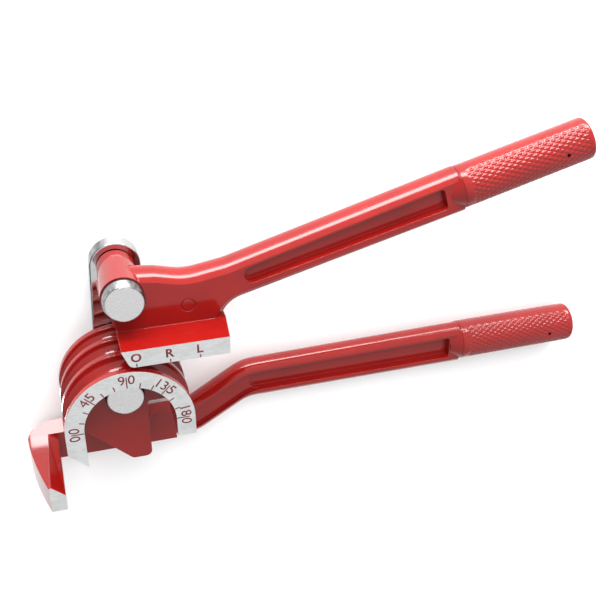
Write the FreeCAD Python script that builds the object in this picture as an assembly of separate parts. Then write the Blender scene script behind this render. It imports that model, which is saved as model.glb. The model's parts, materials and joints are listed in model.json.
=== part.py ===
import FreeCAD, Part
import math
import os

from FreeCAD import Vector

# Hand tube bender for 1/4, 5/16 and 3/8 inch tube, lying on its back. All lengths in mm.
# The model is laid out from the axis of the bending former: +X runs along the lower handle,
# +Y across the tool towards the bending handle, +Z out of the scale face.
# The last step moves the origin to the middle of the footprint.

# --- Former: the grooved half drum that the tube is bent round ---
FRONT_Z = 48.3                  # milled plane of the scale, the shoe's strip and the hook's end
FORMER_BACK_Z = 13.8            # back face of the drum and the hub
FLANGE_R = 24.0                 # outside radius of the four rims
BEND_R = 23.6                   # bend radius to the middle of the tube
RIM_EDGE_R = FLANGE_R - BEND_R  # rounding of the rims' edges
TUBE_DIAMETERS = (6.35, 7.94, 9.53)     # from the back groove to the front one
GROOVE_PLAY = 0.08              # how much a groove's radius is over the tube's
DRUM_BORE_R = 17.0              # inside of the drum, in front of the hub
HUB_FRONT_Z = 26.0
LEG_RIGHT_LENGTH = 8.2          # straight run of the drum past the 180 mark
LEG_LEFT_LENGTH = 16.0          # straight run past the 0 mark, before the slanted cut
SLANT_SUM = -32.9               # the slanted cut under the drum lies where x + y has this value
HUB_STEP_Y = -6.3               # lower edge of the hub beside the window
HUB_LEG_X = 8.5                 # right side of the leg that joins the hub to the bar
HUB_LEG_Y = -33.6               # lower end of that leg

# --- Bar, hook and lower handle, cast in one with the former ---
BAR_BACK_Z = 3.6
BAR_FRONT_Z = 13.2
BAR_TOP_Y = -24.5
BAR_BOTTOM_Y = -37.4
BAR_LEFT_X = -39.4
BAR_RIGHT_X = 20.5              # where the rounded handle takes over from the crisp bar
BAR_CORNER_R = 11.8             # rounding of the bar's left back corner
HOOK_ROOT_MID_X = -31.5         # the hook's slanting face meets the bar's upper edge from here
HOOK_ROOT_RIGHT_X = -27.6       # and its right side meets the bar's front from here down
HOOK_ROOT_RIGHT_Y = -26.0
HOOK_TIP_LEFT_X = -32.9
HOOK_TIP_PEAK_X = -32.0
HOOK_TIP_RIGHT_X = -27.05
HOOK_TIP_TOP_Y = -23.1          # left corner of the milled end
HOOK_TIP_PEAK_Y = -22.7
HOOK_TIP_CORNER_Y = -27.4
HOOK_TIP_BOTTOM_Y = -34.4
HOOK_BULGE = 1.55               # power by which the hook's outer side leaves the bar's end
HOOK_STEPS = 6                  # facets of that side
LOWER_GRIP_X = 149.3            # where the lower grip starts
LOWER_GRIP_Y = -13.1
STEP_TOP_X = 22.0               # the handle steps up from the bar here, along its upper edge
STEP_TOP_R = 4.5
STEP_LOW_X = 30.4               # and here along its lower edge
STEP_LEAN = 30.0                # degrees of the step
STEP_R = 12.0                   # bends of the step
BEND_TOP_FROM_GRIP = 98.6       # end of the step, from the grip's start
BEND_TOP_R = 20.0
BEND_LOW_FROM_GRIP = 97.0
LOWER_TOP_NEAR = 7.84           # handle's upper edge over the grip's line, at the step
LOWER_TOP_FAR = 8.69            # and at the grip
LOWER_LOW_NEAR = -9.5
LOWER_LOW_FAR = -10.0

# --- Link and bending handle ---
PIVOT_DISTANCE = 48.5           # between the two pivots
PIVOT_LEAN = 3.1                # degrees that the link leans to the right of +Y at rest
LINK_BACK_Z = 7.0
LINK_FRONT_Z = 13.2
LINK_HALF_WIDTH = 9.6
LINK_EDGE_R = 0.7
WEB_DIP = (26.0, 51.6)          # lowest point of the web's upper edge
THROAT_R = 11.0                 # between the shoe and the handle
UPPER_TOP_NEAR = 7.44           # handle's upper edge over the grip's line, at the web
UPPER_TOP_FAR = 8.44            # and at the grip
UPPER_LOW_NEAR = -8.8
UPPER_LOW_FAR = -9.8
EJECTOR_AT = (25.9, 40.0)       # ring mark in the web
EJECTOR_R = 2.7
SHOE_BOTTOM_Y = 25.6
SHOE_TOP_Y = 32.7
SHOE_LEFT_TOP_X = -0.8
SHOE_LEFT_BOTTOM_X = 2.0
SHOE_RIGHT_X = 38.4             # at the milled strip
SHOE_RIGHT_DRAFT = 1.4          # how much the block widens to the right, down to the web
WEB_BACK_Z = 22.7
WEB_FRONT_Z = 34.5
BOSS_FRONT_Z = 37.1
BOSS_FRONT_R = 8.1
BOSS_BACK_R = 7.0
UPPER_GRIP_START = (132.48, 72.26)
UPPER_GRIP_Z = 29.25
UPPER_HANDLE_ANGLE = 15.8       # degrees from +X, along the bending handle

# --- Handles and grips ---
UPPER_CROWN_R = 6.8             # the handles' edges are round, with a break at both faces
LOWER_CROWN_R = 5.2
CROWN_FLAT = 0.4                # flat stretch left in the middle of the round edge
POCKET_DEPTH = 3.3
POCKET_DRAFT = 0.5              # how much a pocket opens towards its mouth
CHANNEL_DEPTH = 1.8             # of the lower pocket where it runs down the step
CHANNEL_UNDER_TOP = 4.2         # from the step's upper edge to the channel
CHANNEL_OVER_LOW = 3.4          # from its lower edge
GRIP_R = 8.4
GRIP_LENGTH = 54.4
GRIP_END_R = 1.0
GRIP_CAP = 5.0                  # closed end of the grip
TANG_R = 5.0
HANDLE_TO_GRIP = 0.3            # the handles end this much before their grips
COLLAR_LENGTH = 5.0
COLLAR_START_R = 5.4
COLLAR_R = 8.2
GRIP_PIN_R = 0.8
GRIP_PIN_WALL = 0.35
GRIP_PIN_SLOT = 0.3
GRIP_PIN_FROM_END = 12.0

# --- Pivot pins and their washers ---
PIN_HEAD_R = 7.6
PIN_HEAD_SIDE = 2.65            # straight side of the head
PIN_HEAD_BEVEL = 1.6            # height of the bevel above it
PIN_FACE_R = 7.0                # flat face of the head
PIN_FACE_LINE = 0.25            # turned line where the bevel meets the face
PIN_R = 4.5
PIN_PLAY = 0.05
PIN_TAIL_R = 4.0
PIN_TAIL_END_Z = 3.6
HEAD_WASHER = 0.8               # thickness
HEAD_WASHER_R = 7.7
THRUST_WASHER_R = 6.6
FACE_PLAY = 0.05                # gap at the faces that turn on each other
BACK_WASHER = 1.0
BACK_WASHER_R = 7.2
RING_THICKNESS = 0.8
RING_R = 5.6
RING_GROOVE_R = 3.6
RING_GAP = 4.0
RING_EYE_R = 1.35
RING_EYE_HOLE_R = 0.55

HANDLE_PIVOT = (PIVOT_DISTANCE * math.sin(math.radians(PIVOT_LEAN)),
                PIVOT_DISTANCE * math.cos(math.radians(PIVOT_LEAN)))
FORMER_AXIS = (0.0, 0.0)
LOWER_GRIP_START = (LOWER_GRIP_X, LOWER_GRIP_Y)
LOWER_GRIP_Z = (BAR_BACK_Z + BAR_FRONT_Z) / 2
LOWER_HANDLE_ANGLE = 0.8        # degrees from +X, along the lower handle


# ---------- Shapes used by several pieces ----------

def corner(before, point, after, radius):
    """Start, middle and end of the arc that rounds one corner of an outline."""
    to_before = (before - point).normalize()
    to_after = (after - point).normalize()
    half = to_before.getAngle(to_after) / 2
    bisector = (to_before + to_after).normalize()
    reach = radius / math.tan(half)
    middle = point + bisector * (radius / math.sin(half) - radius)
    return point + to_before * reach, middle, point + to_after * reach


def outline(points, z=0.0):
    """Closed wire through (x, y, radius) corners, each rounded by its radius."""
    spots = [Vector(x, y, z) for x, y, radius in points]
    count = len(points)
    arcs = []
    for i in range(count):
        radius = points[i][2]
        if radius > 0:
            arcs.append(corner(spots[i - 1], spots[i], spots[(i + 1) % count], radius))
        else:
            arcs.append((spots[i], None, spots[i]))
    edges = []
    for i in range(count):
        start, middle, end = arcs[i]
        if middle is not None:
            edges.append(Part.Arc(start, middle, end).toShape())
        following = arcs[(i + 1) % count][0]
        if end.distanceToPoint(following) > 1e-6:
            edges.append(Part.LineSegment(end, following).toShape())
    return Part.Wire(edges)


def prism(points, low_z, high_z):
    """Plate with a rounded outline, from low_z to high_z."""
    return Part.Face(outline(points, low_z)).extrude(Vector(0, 0, high_z - low_z))


def disc(centre, radius, low_z, high_z):
    base = Vector(centre[0], centre[1], low_z)
    return Part.makeCylinder(radius, high_z - low_z, base)


def ring(centre, outer_r, inner_r, low_z, high_z):
    return disc(centre, outer_r, low_z, high_z).cut(disc(centre, inner_r, low_z - 1, high_z + 1))


def crowned(points, low_z, high_z, radius, ends, from_x, from_y=-1000.0):
    """Plate with edges round in section, past from_x and from_y, cut level at both faces."""
    middle = (low_z + high_z) / 2
    thick = prism(points, middle - radius, middle + radius)
    round_r = radius - CROWN_FLAT / 2
    thick = soften_rims(thick, (middle - radius, middle + radius), round_r, from_x, from_y, ends)
    slab = Part.makeBox(1000, 1000, high_z - low_z, Vector(-500, -500, low_z))
    return thick.common(slab)


def soften_rims(solid, heights, radius, from_x=-1000.0, from_y=-1000.0, ends=()):
    """Round a plate's edges at the given heights, past from_x and from_y, but not its ends."""
    def chosen(edge):
        box = edge.BoundBox
        flat = any(abs(box.ZMin - z) < 1e-4 and abs(box.ZMax - z) < 1e-4 for z in heights)
        at_end = any(math.hypot(box.Center.x - x, box.Center.y - y) < 0.5 for x, y in ends)
        return flat and not at_end and box.XMin > from_x and box.YMin > from_y
    return solid.makeFillet(radius, [edge for edge in solid.Edges if chosen(edge)])


def drafted_hollow(corners, floor_z, mouth_z):
    """Pocket cutter whose outline grows from its floor to its mouth; the second list is the mouth."""
    floor_corners, mouth_corners = corners
    sections = [outline(floor_corners, floor_z), outline(mouth_corners, mouth_z)]
    return Part.makeLoft(sections, True, True)


def two_sided_pocket(corners, back_z, front_z):
    """The same pocket sunk in the front and in the back of a handle."""
    front = drafted_hollow(corners, front_z - POCKET_DEPTH, front_z + 0.01)
    back = drafted_hollow(corners, back_z + POCKET_DEPTH, back_z - 0.01)
    return [front, back]


def pocket_corners(start, angle, near, far):
    """Floor and mouth outlines of a pocket; near and far are (distance, low, high, radius)."""
    def corners(grow):
        near_at, near_low, near_high, near_r = near
        far_at, far_low, far_high, far_r = far
        left = near_at - grow
        right = far_at + grow
        return [(*along(start, angle, left, near_high + grow), near_r + grow),
                (*along(start, angle, left, near_low - grow), near_r + grow),
                (*along(start, angle, right, far_low - grow), far_r + grow),
                (*along(start, angle, right, far_high + grow), far_r + grow)]
    return corners(0.0), corners(POCKET_DRAFT)


def one_solid(shape):
    """The single solid of a finished boolean, with leftover seams removed."""
    clean = shape.removeSplitter()
    if len(clean.Solids) != 1:
        raise ValueError("expected one solid, got %d" % len(clean.Solids))
    return clean.Solids[0]


def along(start, angle, distance, across=0.0):
    """Point at a distance along a handle's line and across it."""
    turn = math.radians(angle)
    x = start[0] + distance * math.cos(turn) - across * math.sin(turn)
    y = start[1] + distance * math.sin(turn) + across * math.cos(turn)
    return x, y


def halfway(first, second):
    return (first[0] + second[0]) / 2, (first[1] + second[1]) / 2


def bar_along(start, angle, z, first, last, first_r, last_r):
    """Round bar or cone on a handle's line, between two distances from the grip's start."""
    x, y = along(start, angle, first)
    direction = Vector(math.cos(math.radians(angle)), math.sin(math.radians(angle)), 0)
    if first_r == last_r:
        return Part.makeCylinder(first_r, last - first, Vector(x, y, z), direction)
    return Part.makeCone(first_r, last_r, last - first, Vector(x, y, z), direction)


def handle_end(start, angle, z):
    """Collar that meets the grip, and the tang inside the grip."""
    collar = bar_along(start, angle, z, -COLLAR_LENGTH, 0, COLLAR_START_R, COLLAR_R)
    tang = bar_along(start, angle, z, -COLLAR_LENGTH, GRIP_LENGTH - GRIP_CAP, TANG_R, TANG_R)
    return collar.fuse(tang)


def grip_pin_hole(start, angle, z, radius):
    spot = along(start, angle, GRIP_LENGTH - GRIP_PIN_FROM_END)
    return disc(spot, radius, z - GRIP_R - 1, z + GRIP_R + 1)


def grip(start, angle, z):
    """Sleeve over the tang, closed at its far end, cross-drilled for its pin."""
    body = bar_along(start, angle, z, 0, GRIP_LENGTH, GRIP_R, GRIP_R)
    end = Vector(*along(start, angle, GRIP_LENGTH), z)
    rims = [edge for edge in body.Edges if edge.Curve.TypeId == "Part::GeomCircle"
            and edge.Curve.Center.distanceToPoint(end) < 1e-4]
    body = body.makeFillet(GRIP_END_R, rims)
    body = body.cut(bar_along(start, angle, z, -1, GRIP_LENGTH - GRIP_CAP, TANG_R, TANG_R))
    return one_solid(body.cut(grip_pin_hole(start, angle, z, GRIP_PIN_R)))


def grip_pin(start, angle, z):
    """Rolled pin through the grip and the tang, split along one side."""
    spot = along(start, angle, GRIP_LENGTH - GRIP_PIN_FROM_END)
    reach = GRIP_R - 0.5
    sleeve = ring(spot, GRIP_PIN_R, GRIP_PIN_R - GRIP_PIN_WALL, z - reach, z + reach)
    slot = Part.makeBox(2 * GRIP_PIN_R, GRIP_PIN_SLOT, 2 * GRIP_R)
    slot.translate(Vector(spot[0], spot[1] - GRIP_PIN_SLOT / 2, z - GRIP_R))
    return one_solid(sleeve.cut(slot))


# ---------- Former casting ----------

def groove_centres():
    """Height of each groove's middle and its radius, from back to front."""
    radii = [diameter / 2 + GROOVE_PLAY for diameter in TUBE_DIAMETERS]
    rim = (FRONT_Z - FORMER_BACK_Z - 2 * sum(radii)) / (len(radii) + 1)
    grooves = []
    z = FORMER_BACK_Z
    for radius in radii:
        z += rim + radius
        grooves.append((z, radius))
        z += radius
    return grooves


def drum_section():
    """Half section of the drum's wall, in the XZ plane, right of the axis."""
    def spot(x, z):
        return Vector(x, 0, z)
    lean = RIM_EDGE_R * (1 - math.sqrt(0.5))
    edges = []
    last = spot(FLANGE_R, FORMER_BACK_Z)
    edges.append(Part.LineSegment(spot(DRUM_BORE_R, FORMER_BACK_Z), last).toShape())
    for z, radius in groove_centres():
        rim_end = spot(FLANGE_R, z - radius - RIM_EDGE_R)
        edges.append(Part.LineSegment(last, rim_end).toShape())
        into = spot(BEND_R, z - radius)
        edges.append(Part.Arc(rim_end, spot(FLANGE_R - lean, z - radius - lean), into).toShape())
        out = spot(BEND_R, z + radius)
        edges.append(Part.Arc(into, spot(BEND_R - radius, z), out).toShape())
        last = spot(FLANGE_R, z + radius + RIM_EDGE_R)
        edges.append(Part.Arc(out, spot(FLANGE_R - lean, z + radius + lean), last).toShape())
    front = spot(FLANGE_R, FRONT_Z)
    edges.append(Part.LineSegment(last, front).toShape())
    edges.append(Part.LineSegment(front, spot(DRUM_BORE_R, FRONT_Z)).toShape())
    edges.append(Part.LineSegment(spot(DRUM_BORE_R, FRONT_Z),
                                  spot(DRUM_BORE_R, FORMER_BACK_Z)).toShape())
    return Part.Face(Part.Wire(edges))


def drum():
    """Grooved half drum with a straight leg past each end of the scale."""
    section = drum_section()
    axis = Vector(0, 0, 1)
    half = section.revolve(Vector(0, 0, 0), axis, 180)
    right = section.extrude(Vector(0, -LEG_RIGHT_LENGTH, 0))
    left = section.extrude(Vector(0, LEG_LEFT_LENGTH, 0))
    left.rotate(Vector(0, 0, 0), axis, 180)
    beyond = prism([(SLANT_SUM, 0, 0), (0, SLANT_SUM, 0), (SLANT_SUM, SLANT_SUM, 0)], 0, FRONT_Z + 1)
    return half.fuse([right, left.cut(beyond)])


def hub():
    """Plate inside the drum that carries the pivot, with the leg down to the bar."""
    side = DRUM_BORE_R + 0.3
    leg = [(side, 0, 0), (side, HUB_STEP_Y, 0), (HUB_LEG_X, HUB_STEP_Y, 1.5),
           (HUB_LEG_X, HUB_LEG_Y, 2.5), (SLANT_SUM - HUB_LEG_Y, HUB_LEG_Y, 2.5),
           (-side, SLANT_SUM + side, 0), (-side, 0, 0)]
    plate = prism(leg, FORMER_BACK_Z, HUB_FRONT_Z)
    dome = disc(FORMER_AXIS, side, FORMER_BACK_Z, HUB_FRONT_Z)
    dome = dome.cut(Part.makeBox(2 * FLANGE_R, FLANGE_R, FRONT_Z, Vector(-FLANGE_R, -FLANGE_R, 0)))
    foot_top = BAR_TOP_Y + 3.0
    foot_slant = SLANT_SUM - foot_top
    foot = [(foot_slant, foot_top, 0), (SLANT_SUM - HUB_LEG_Y, HUB_LEG_Y, 2.5),
            (HUB_LEG_X, HUB_LEG_Y, 2.5), (HUB_LEG_X, foot_top, 0)]
    return plate.fuse([dome, prism(foot, BAR_FRONT_Z - 2, HUB_FRONT_Z - 1)])


def bar():
    """Flat bar behind the drum, from the hook to the step of the handle."""
    points = [(BAR_LEFT_X, BAR_TOP_Y, 0), (BAR_LEFT_X, BAR_BOTTOM_Y, 0),
              (BAR_RIGHT_X, BAR_BOTTOM_Y, 0), (BAR_RIGHT_X, BAR_TOP_Y, 0)]
    return prism(points, BAR_BACK_Z, BAR_FRONT_Z)


def lower_handle():
    """Handle that leaves the bar, steps up and runs out to the grip."""
    end_top = along(LOWER_GRIP_START, LOWER_HANDLE_ANGLE, -HANDLE_TO_GRIP, LOWER_TOP_FAR)
    end_low = along(LOWER_GRIP_START, LOWER_HANDLE_ANGLE, -HANDLE_TO_GRIP, LOWER_LOW_FAR)
    bend_top = along(LOWER_GRIP_START, LOWER_HANDLE_ANGLE, -BEND_TOP_FROM_GRIP, LOWER_TOP_NEAR)
    bend_low = along(LOWER_GRIP_START, LOWER_HANDLE_ANGLE, -BEND_LOW_FROM_GRIP, LOWER_LOW_NEAR)
    start_x = BAR_RIGHT_X - 1
    points = [(start_x, BAR_TOP_Y, 0), (start_x, BAR_BOTTOM_Y, 0),
              (STEP_LOW_X, BAR_BOTTOM_Y, STEP_R), (*bend_low, STEP_R), (*end_low, 0), (*end_top, 0),
              (*bend_top, BEND_TOP_R), (STEP_TOP_X, BAR_TOP_Y, STEP_TOP_R)]
    ends = [(start_x, (BAR_TOP_Y + BAR_BOTTOM_Y) / 2), halfway(end_top, end_low)]
    plate = crowned(points, BAR_BACK_Z, BAR_FRONT_Z, LOWER_CROWN_R, ends, start_x - 0.5)
    channel = step_channel(bend_top, bend_low)
    near = (-96.0, -4.6, 3.4, 3.0)
    far = (-6.0, -5.0, 4.2, 0.8)
    corners = pocket_corners(LOWER_GRIP_START, LOWER_HANDLE_ANGLE, near, far)
    return plate.cut(two_sided_pocket(corners, BAR_BACK_Z, BAR_FRONT_Z)).cut(channel)


def step_channel(bend_top, bend_low):
    """Shallow channel that carries the front pocket down the step to the bar."""
    across = math.radians(90 + STEP_LEAN / 2)
    under_top = CHANNEL_UNDER_TOP
    over_low = CHANNEL_OVER_LOW

    def inset(x, y, distance):
        return x - distance * math.cos(across), y - distance * math.sin(across)
    first_x = BAR_RIGHT_X + 1
    inside_pocket = -90.0
    points = [(first_x, BAR_TOP_Y - under_top, 0), (first_x, BAR_BOTTOM_Y + over_low, 0),
              (*inset(STEP_LOW_X, BAR_BOTTOM_Y, -over_low), STEP_R), (*inset(*bend_low, -over_low), STEP_R),
              (*along(LOWER_GRIP_START, LOWER_HANDLE_ANGLE, inside_pocket, -4.5), 0),
              (*along(LOWER_GRIP_START, LOWER_HANDLE_ANGLE, inside_pocket, 3.4), 0),
              (*inset(*bend_top, under_top), STEP_R), (*inset(STEP_TOP_X, BAR_TOP_Y, under_top), STEP_TOP_R)]
    return prism(points, BAR_FRONT_Z - CHANNEL_DEPTH, BAR_FRONT_Z + 1)


def hook_side(share):
    """Upper and lower corner of the hook's outer side, from the bar (0) to the milled end (1)."""
    x = BAR_LEFT_X + (HOOK_TIP_LEFT_X - BAR_LEFT_X) * share ** HOOK_BULGE
    z = BAR_FRONT_Z + (FRONT_Z - BAR_FRONT_Z) * share
    top_y = BAR_TOP_Y + (HOOK_TIP_TOP_Y - BAR_TOP_Y) * share
    low_y = BAR_BOTTOM_Y + (HOOK_TIP_BOTTOM_Y - BAR_BOTTOM_Y) * share
    return Vector(x, top_y, z), Vector(x, low_y, z)


def hook():
    """Arm that stands forward from the bar's left end and holds the tube."""
    sides = [hook_side(step / HOOK_STEPS) for step in range(HOOK_STEPS + 1)]
    root_left_top, root_left_low = sides[0]
    tip_left_top, tip_left_low = sides[-1]
    root_mid = Vector(HOOK_ROOT_MID_X, BAR_TOP_Y, BAR_FRONT_Z)
    root_top = Vector(HOOK_ROOT_RIGHT_X, HOOK_ROOT_RIGHT_Y, BAR_FRONT_Z)
    root_low = Vector(HOOK_ROOT_RIGHT_X, BAR_BOTTOM_Y, BAR_FRONT_Z)
    tip_peak = Vector(HOOK_TIP_PEAK_X, HOOK_TIP_PEAK_Y, FRONT_Z)
    tip_right_top = Vector(HOOK_TIP_RIGHT_X, HOOK_TIP_CORNER_Y, FRONT_Z)
    tip_right_low = Vector(HOOK_TIP_RIGHT_X, HOOK_TIP_BOTTOM_Y, FRONT_Z)
    flat_faces = [
        (root_left_top, root_mid, root_top, root_low, root_left_low),
        (tip_left_top, tip_peak, tip_right_top, tip_right_low, tip_left_low),
        (root_top, root_low, tip_right_low, tip_right_top),
        (tip_left_top, root_mid, tip_peak),
        (root_mid, root_top, tip_right_top),
        (root_mid, tip_right_top, tip_peak),
        [root_low, *(low for top, low in sides), tip_right_low],
    ]
    for (top, low), (next_top, next_low) in zip(sides, sides[1:]):
        flat_faces.append((top, low, next_low, next_top))
        flat_faces.append((top, root_mid, next_top))
    faces = [Part.Face(Part.makePolygon(list(spots) + [spots[0]])) for spots in flat_faces]
    skin = Part.makeCompound(faces)
    skin.sewShape()
    return Part.makeSolid(skin.Shells[0])


def bar_corner_cut():
    """What is removed to round the bar's left back corner."""
    box = Part.makeBox(BAR_CORNER_R + 1, 20, BAR_CORNER_R + 1,
                       Vector(BAR_LEFT_X - 1, BAR_BOTTOM_Y - 3, BAR_BACK_Z - 1))
    round_bar = Part.makeCylinder(BAR_CORNER_R, 22,
                                  Vector(BAR_LEFT_X + BAR_CORNER_R, BAR_BOTTOM_Y - 4,
                                         BAR_BACK_Z + BAR_CORNER_R), Vector(0, 1, 0))
    return box.cut(round_bar)


def former_casting():
    frame = bar().fuse(hook()).cut(bar_corner_cut())
    body = drum().fuse([hub(), frame, lower_handle(),
                        handle_end(LOWER_GRIP_START, LOWER_HANDLE_ANGLE, LOWER_GRIP_Z)])
    body = body.cut(disc(FORMER_AXIS, PIN_R + PIN_PLAY, 0, FRONT_Z))
    hole = grip_pin_hole(LOWER_GRIP_START, LOWER_HANDLE_ANGLE, LOWER_GRIP_Z, GRIP_PIN_R)
    return one_solid(body.cut(hole))


# ---------- Bending handle casting ----------

def shoe():
    """Block that presses the tube into the former's grooves."""
    wide_x = SHOE_RIGHT_X + SHOE_RIGHT_DRAFT
    points = [(SHOE_LEFT_TOP_X, SHOE_TOP_Y, 0), (SHOE_LEFT_BOTTOM_X, SHOE_BOTTOM_Y, 2.6),
              (wide_x - 1.6, SHOE_BOTTOM_Y, 0), (wide_x, SHOE_BOTTOM_Y + 2.0, 0),
              (wide_x, SHOE_TOP_Y, 0)]
    block = prism(points, FORMER_BACK_Z, FRONT_Z).cut(shoe_draft_cut())
    length = SHOE_RIGHT_X + 10
    grooves = []
    for z, radius in groove_centres():
        base = Vector(SHOE_LEFT_TOP_X - 4, BEND_R + 0.4, z)
        grooves.append(Part.makeCylinder(radius, length, base, Vector(1, 0, 0)))
    return block.cut(grooves[0].fuse(grooves[1:]))


def shoe_draft_cut():
    """Wedge that leans the shoe's right side in, from the web to the milled strip."""
    y = SHOE_BOTTOM_Y - 1
    out_x = SHOE_RIGHT_X + SHOE_RIGHT_DRAFT
    over = SHOE_RIGHT_DRAFT / (FRONT_Z - WEB_FRONT_Z)
    corners = [Vector(out_x, y, WEB_FRONT_Z), Vector(SHOE_RIGHT_X - over, y, FRONT_Z + 1),
               Vector(out_x + 1, y, FRONT_Z + 1), Vector(out_x + 1, y, WEB_FRONT_Z)]
    side = Part.Face(Part.makePolygon(corners + [corners[0]]))
    return side.extrude(Vector(0, SHOE_TOP_Y - SHOE_BOTTOM_Y + 2, 0))


def web_and_handle():
    """Flat plate from the pivot down to the shoe and out to the grip."""
    start = UPPER_GRIP_START
    angle = UPPER_HANDLE_ANGLE
    px, py = HANDLE_PIVOT
    end_top = along(start, angle, -HANDLE_TO_GRIP, UPPER_TOP_FAR)
    end_low = along(start, angle, -HANDLE_TO_GRIP, UPPER_LOW_FAR)
    top_left = along(start, angle, -93, UPPER_TOP_NEAR)
    throat = along(start, angle, -96, UPPER_LOW_NEAR)
    corner_x = SHOE_RIGHT_X + SHOE_RIGHT_DRAFT
    points = [(px - BOSS_FRONT_R, py, 0), (SHOE_LEFT_TOP_X + 0.3, SHOE_TOP_Y, 0),
              (SHOE_LEFT_TOP_X + 1.6, SHOE_TOP_Y - 3, 0), (corner_x - 2.0, SHOE_TOP_Y - 3, 0),
              (corner_x - 0.4, SHOE_TOP_Y - 0.3, 0), (*throat, THROAT_R),
              (*end_low, 0), (*end_top, 0), (*top_left, 30), (*WEB_DIP, 20),
              (px + 12.6, py + 5.9, 9), (px + 4.2, py + 6.9, 0), (px - 3, py + 5, 0)]
    ends = [halfway(end_top, end_low)]
    return crowned(points, WEB_BACK_Z, WEB_FRONT_Z, UPPER_CROWN_R, ends, px + 4, SHOE_TOP_Y - 0.5)


def upper_pockets():
    """Hollows in the front and the back of the bending handle."""
    near = (-87.9, -2.9, 3.0, 2.8)
    far = (-7.5, -3.9, 3.9, 0.9)
    corners = pocket_corners(UPPER_GRIP_START, UPPER_HANDLE_ANGLE, near, far)
    return two_sided_pocket(corners, WEB_BACK_Z, WEB_FRONT_Z)


def boss():
    """Long boss round the pivot pin, tapered for casting."""
    base = Vector(*HANDLE_PIVOT, FORMER_BACK_Z)
    return Part.makeCone(BOSS_BACK_R, BOSS_FRONT_R, BOSS_FRONT_Z - FORMER_BACK_Z, base)


def ejector_mark():
    """Shallow ring left in the web by the mould's ejector."""
    return ring(EJECTOR_AT, EJECTOR_R, EJECTOR_R - 0.55, WEB_FRONT_Z - 0.25, WEB_FRONT_Z + 1)


def bending_handle_casting():
    body = web_and_handle().fuse([shoe(), boss(),
                                  handle_end(UPPER_GRIP_START, UPPER_HANDLE_ANGLE, UPPER_GRIP_Z)])
    body = body.cut(upper_pockets()).cut(ejector_mark())
    body = body.cut(disc(HANDLE_PIVOT, PIN_R + PIN_PLAY, 0, FRONT_Z))
    hole = grip_pin_hole(UPPER_GRIP_START, UPPER_HANDLE_ANGLE, UPPER_GRIP_Z, GRIP_PIN_R)
    return one_solid(body.cut(hole))


# ---------- Link, pins and washers ----------

def link_plate():
    """Plated steel link with round ends, behind the former and the boss."""
    reach = PIVOT_DISTANCE + LINK_HALF_WIDTH
    w = LINK_HALF_WIDTH
    plate = prism([(-w, -w, w - 1e-3), (w, -w, w - 1e-3), (w, reach, w - 1e-3), (-w, reach, w - 1e-3)],
                  LINK_BACK_Z, LINK_FRONT_Z)
    plate = soften_rims(plate, (LINK_BACK_Z, LINK_FRONT_Z), LINK_EDGE_R)
    plate.rotate(Vector(0, 0, 0), Vector(0, 0, 1), -PIVOT_LEAN)
    for centre in (FORMER_AXIS, HANDLE_PIVOT):
        plate = plate.cut(disc(centre, PIN_TAIL_R, 0, FRONT_Z))
    return one_solid(plate)


def pivot_pin(centre, seat_z):
    """Headed pin; seat_z is the casting's face under the head."""
    head_z = seat_z + FACE_PLAY + HEAD_WASHER
    bevel_z = head_z + PIN_HEAD_SIDE
    face_z = bevel_z + PIN_HEAD_BEVEL
    side = disc(centre, PIN_HEAD_R, head_z, bevel_z)
    bevel = Part.makeCone(PIN_HEAD_R, PIN_FACE_R, PIN_HEAD_BEVEL, Vector(*centre, bevel_z))
    line = ring(centre, PIN_FACE_R, PIN_FACE_R - PIN_FACE_LINE, face_z - PIN_FACE_LINE, face_z + 1)
    head = side.fuse(bevel).cut(line)
    shank = disc(centre, PIN_R, LINK_FRONT_Z, head_z)
    tail = disc(centre, PIN_TAIL_R, PIN_TAIL_END_Z, LINK_FRONT_Z)
    rim = [edge for edge in tail.Edges if edge.BoundBox.ZMax < PIN_TAIL_END_Z + 1e-4]
    tail = tail.makeChamfer(0.5, rim)
    ring_z = ring_height()
    tail = tail.cut(ring(centre, PIN_R + 1, RING_GROOVE_R, ring_z, ring_z + RING_THICKNESS))
    return one_solid(head.fuse([shank, tail]))


def ring_height():
    """Back face of the retaining rings."""
    return LINK_BACK_Z - BACK_WASHER - RING_THICKNESS


def head_washer(centre, seat_z):
    low = seat_z + FACE_PLAY
    return ring(centre, HEAD_WASHER_R, PIN_R, low, low + HEAD_WASHER)


def thrust_washer(centre):
    return ring(centre, THRUST_WASHER_R, PIN_R, LINK_FRONT_Z, FORMER_BACK_Z - FACE_PLAY)


def back_washer(centre):
    return ring(centre, BACK_WASHER_R, PIN_TAIL_R, LINK_BACK_Z - BACK_WASHER, LINK_BACK_Z)


def retaining_ring(centre):
    """Spring ring in the pin's groove, open towards the foot of the tool, with two eyes."""
    low = ring_height()
    high = low + RING_THICKNESS
    x, y = centre
    body = ring(centre, RING_R, RING_GROOVE_R, low, high)
    gap = Part.makeBox(RING_GAP, RING_R + 2, 4, Vector(x - RING_GAP / 2, y - RING_R - 2, low - 1))
    body = body.cut(gap)
    eye_y = y - RING_R + 0.4
    for side in (-1, 1):
        eye = (x + side * (RING_GAP / 2 + RING_EYE_R * 0.75), eye_y)
        body = body.fuse(disc(eye, RING_EYE_R, low, high)).cut(disc(eye, RING_EYE_HOLE_R, low - 1, high + 1))
    return one_solid(body)


# ---------- Assembly ----------

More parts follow.
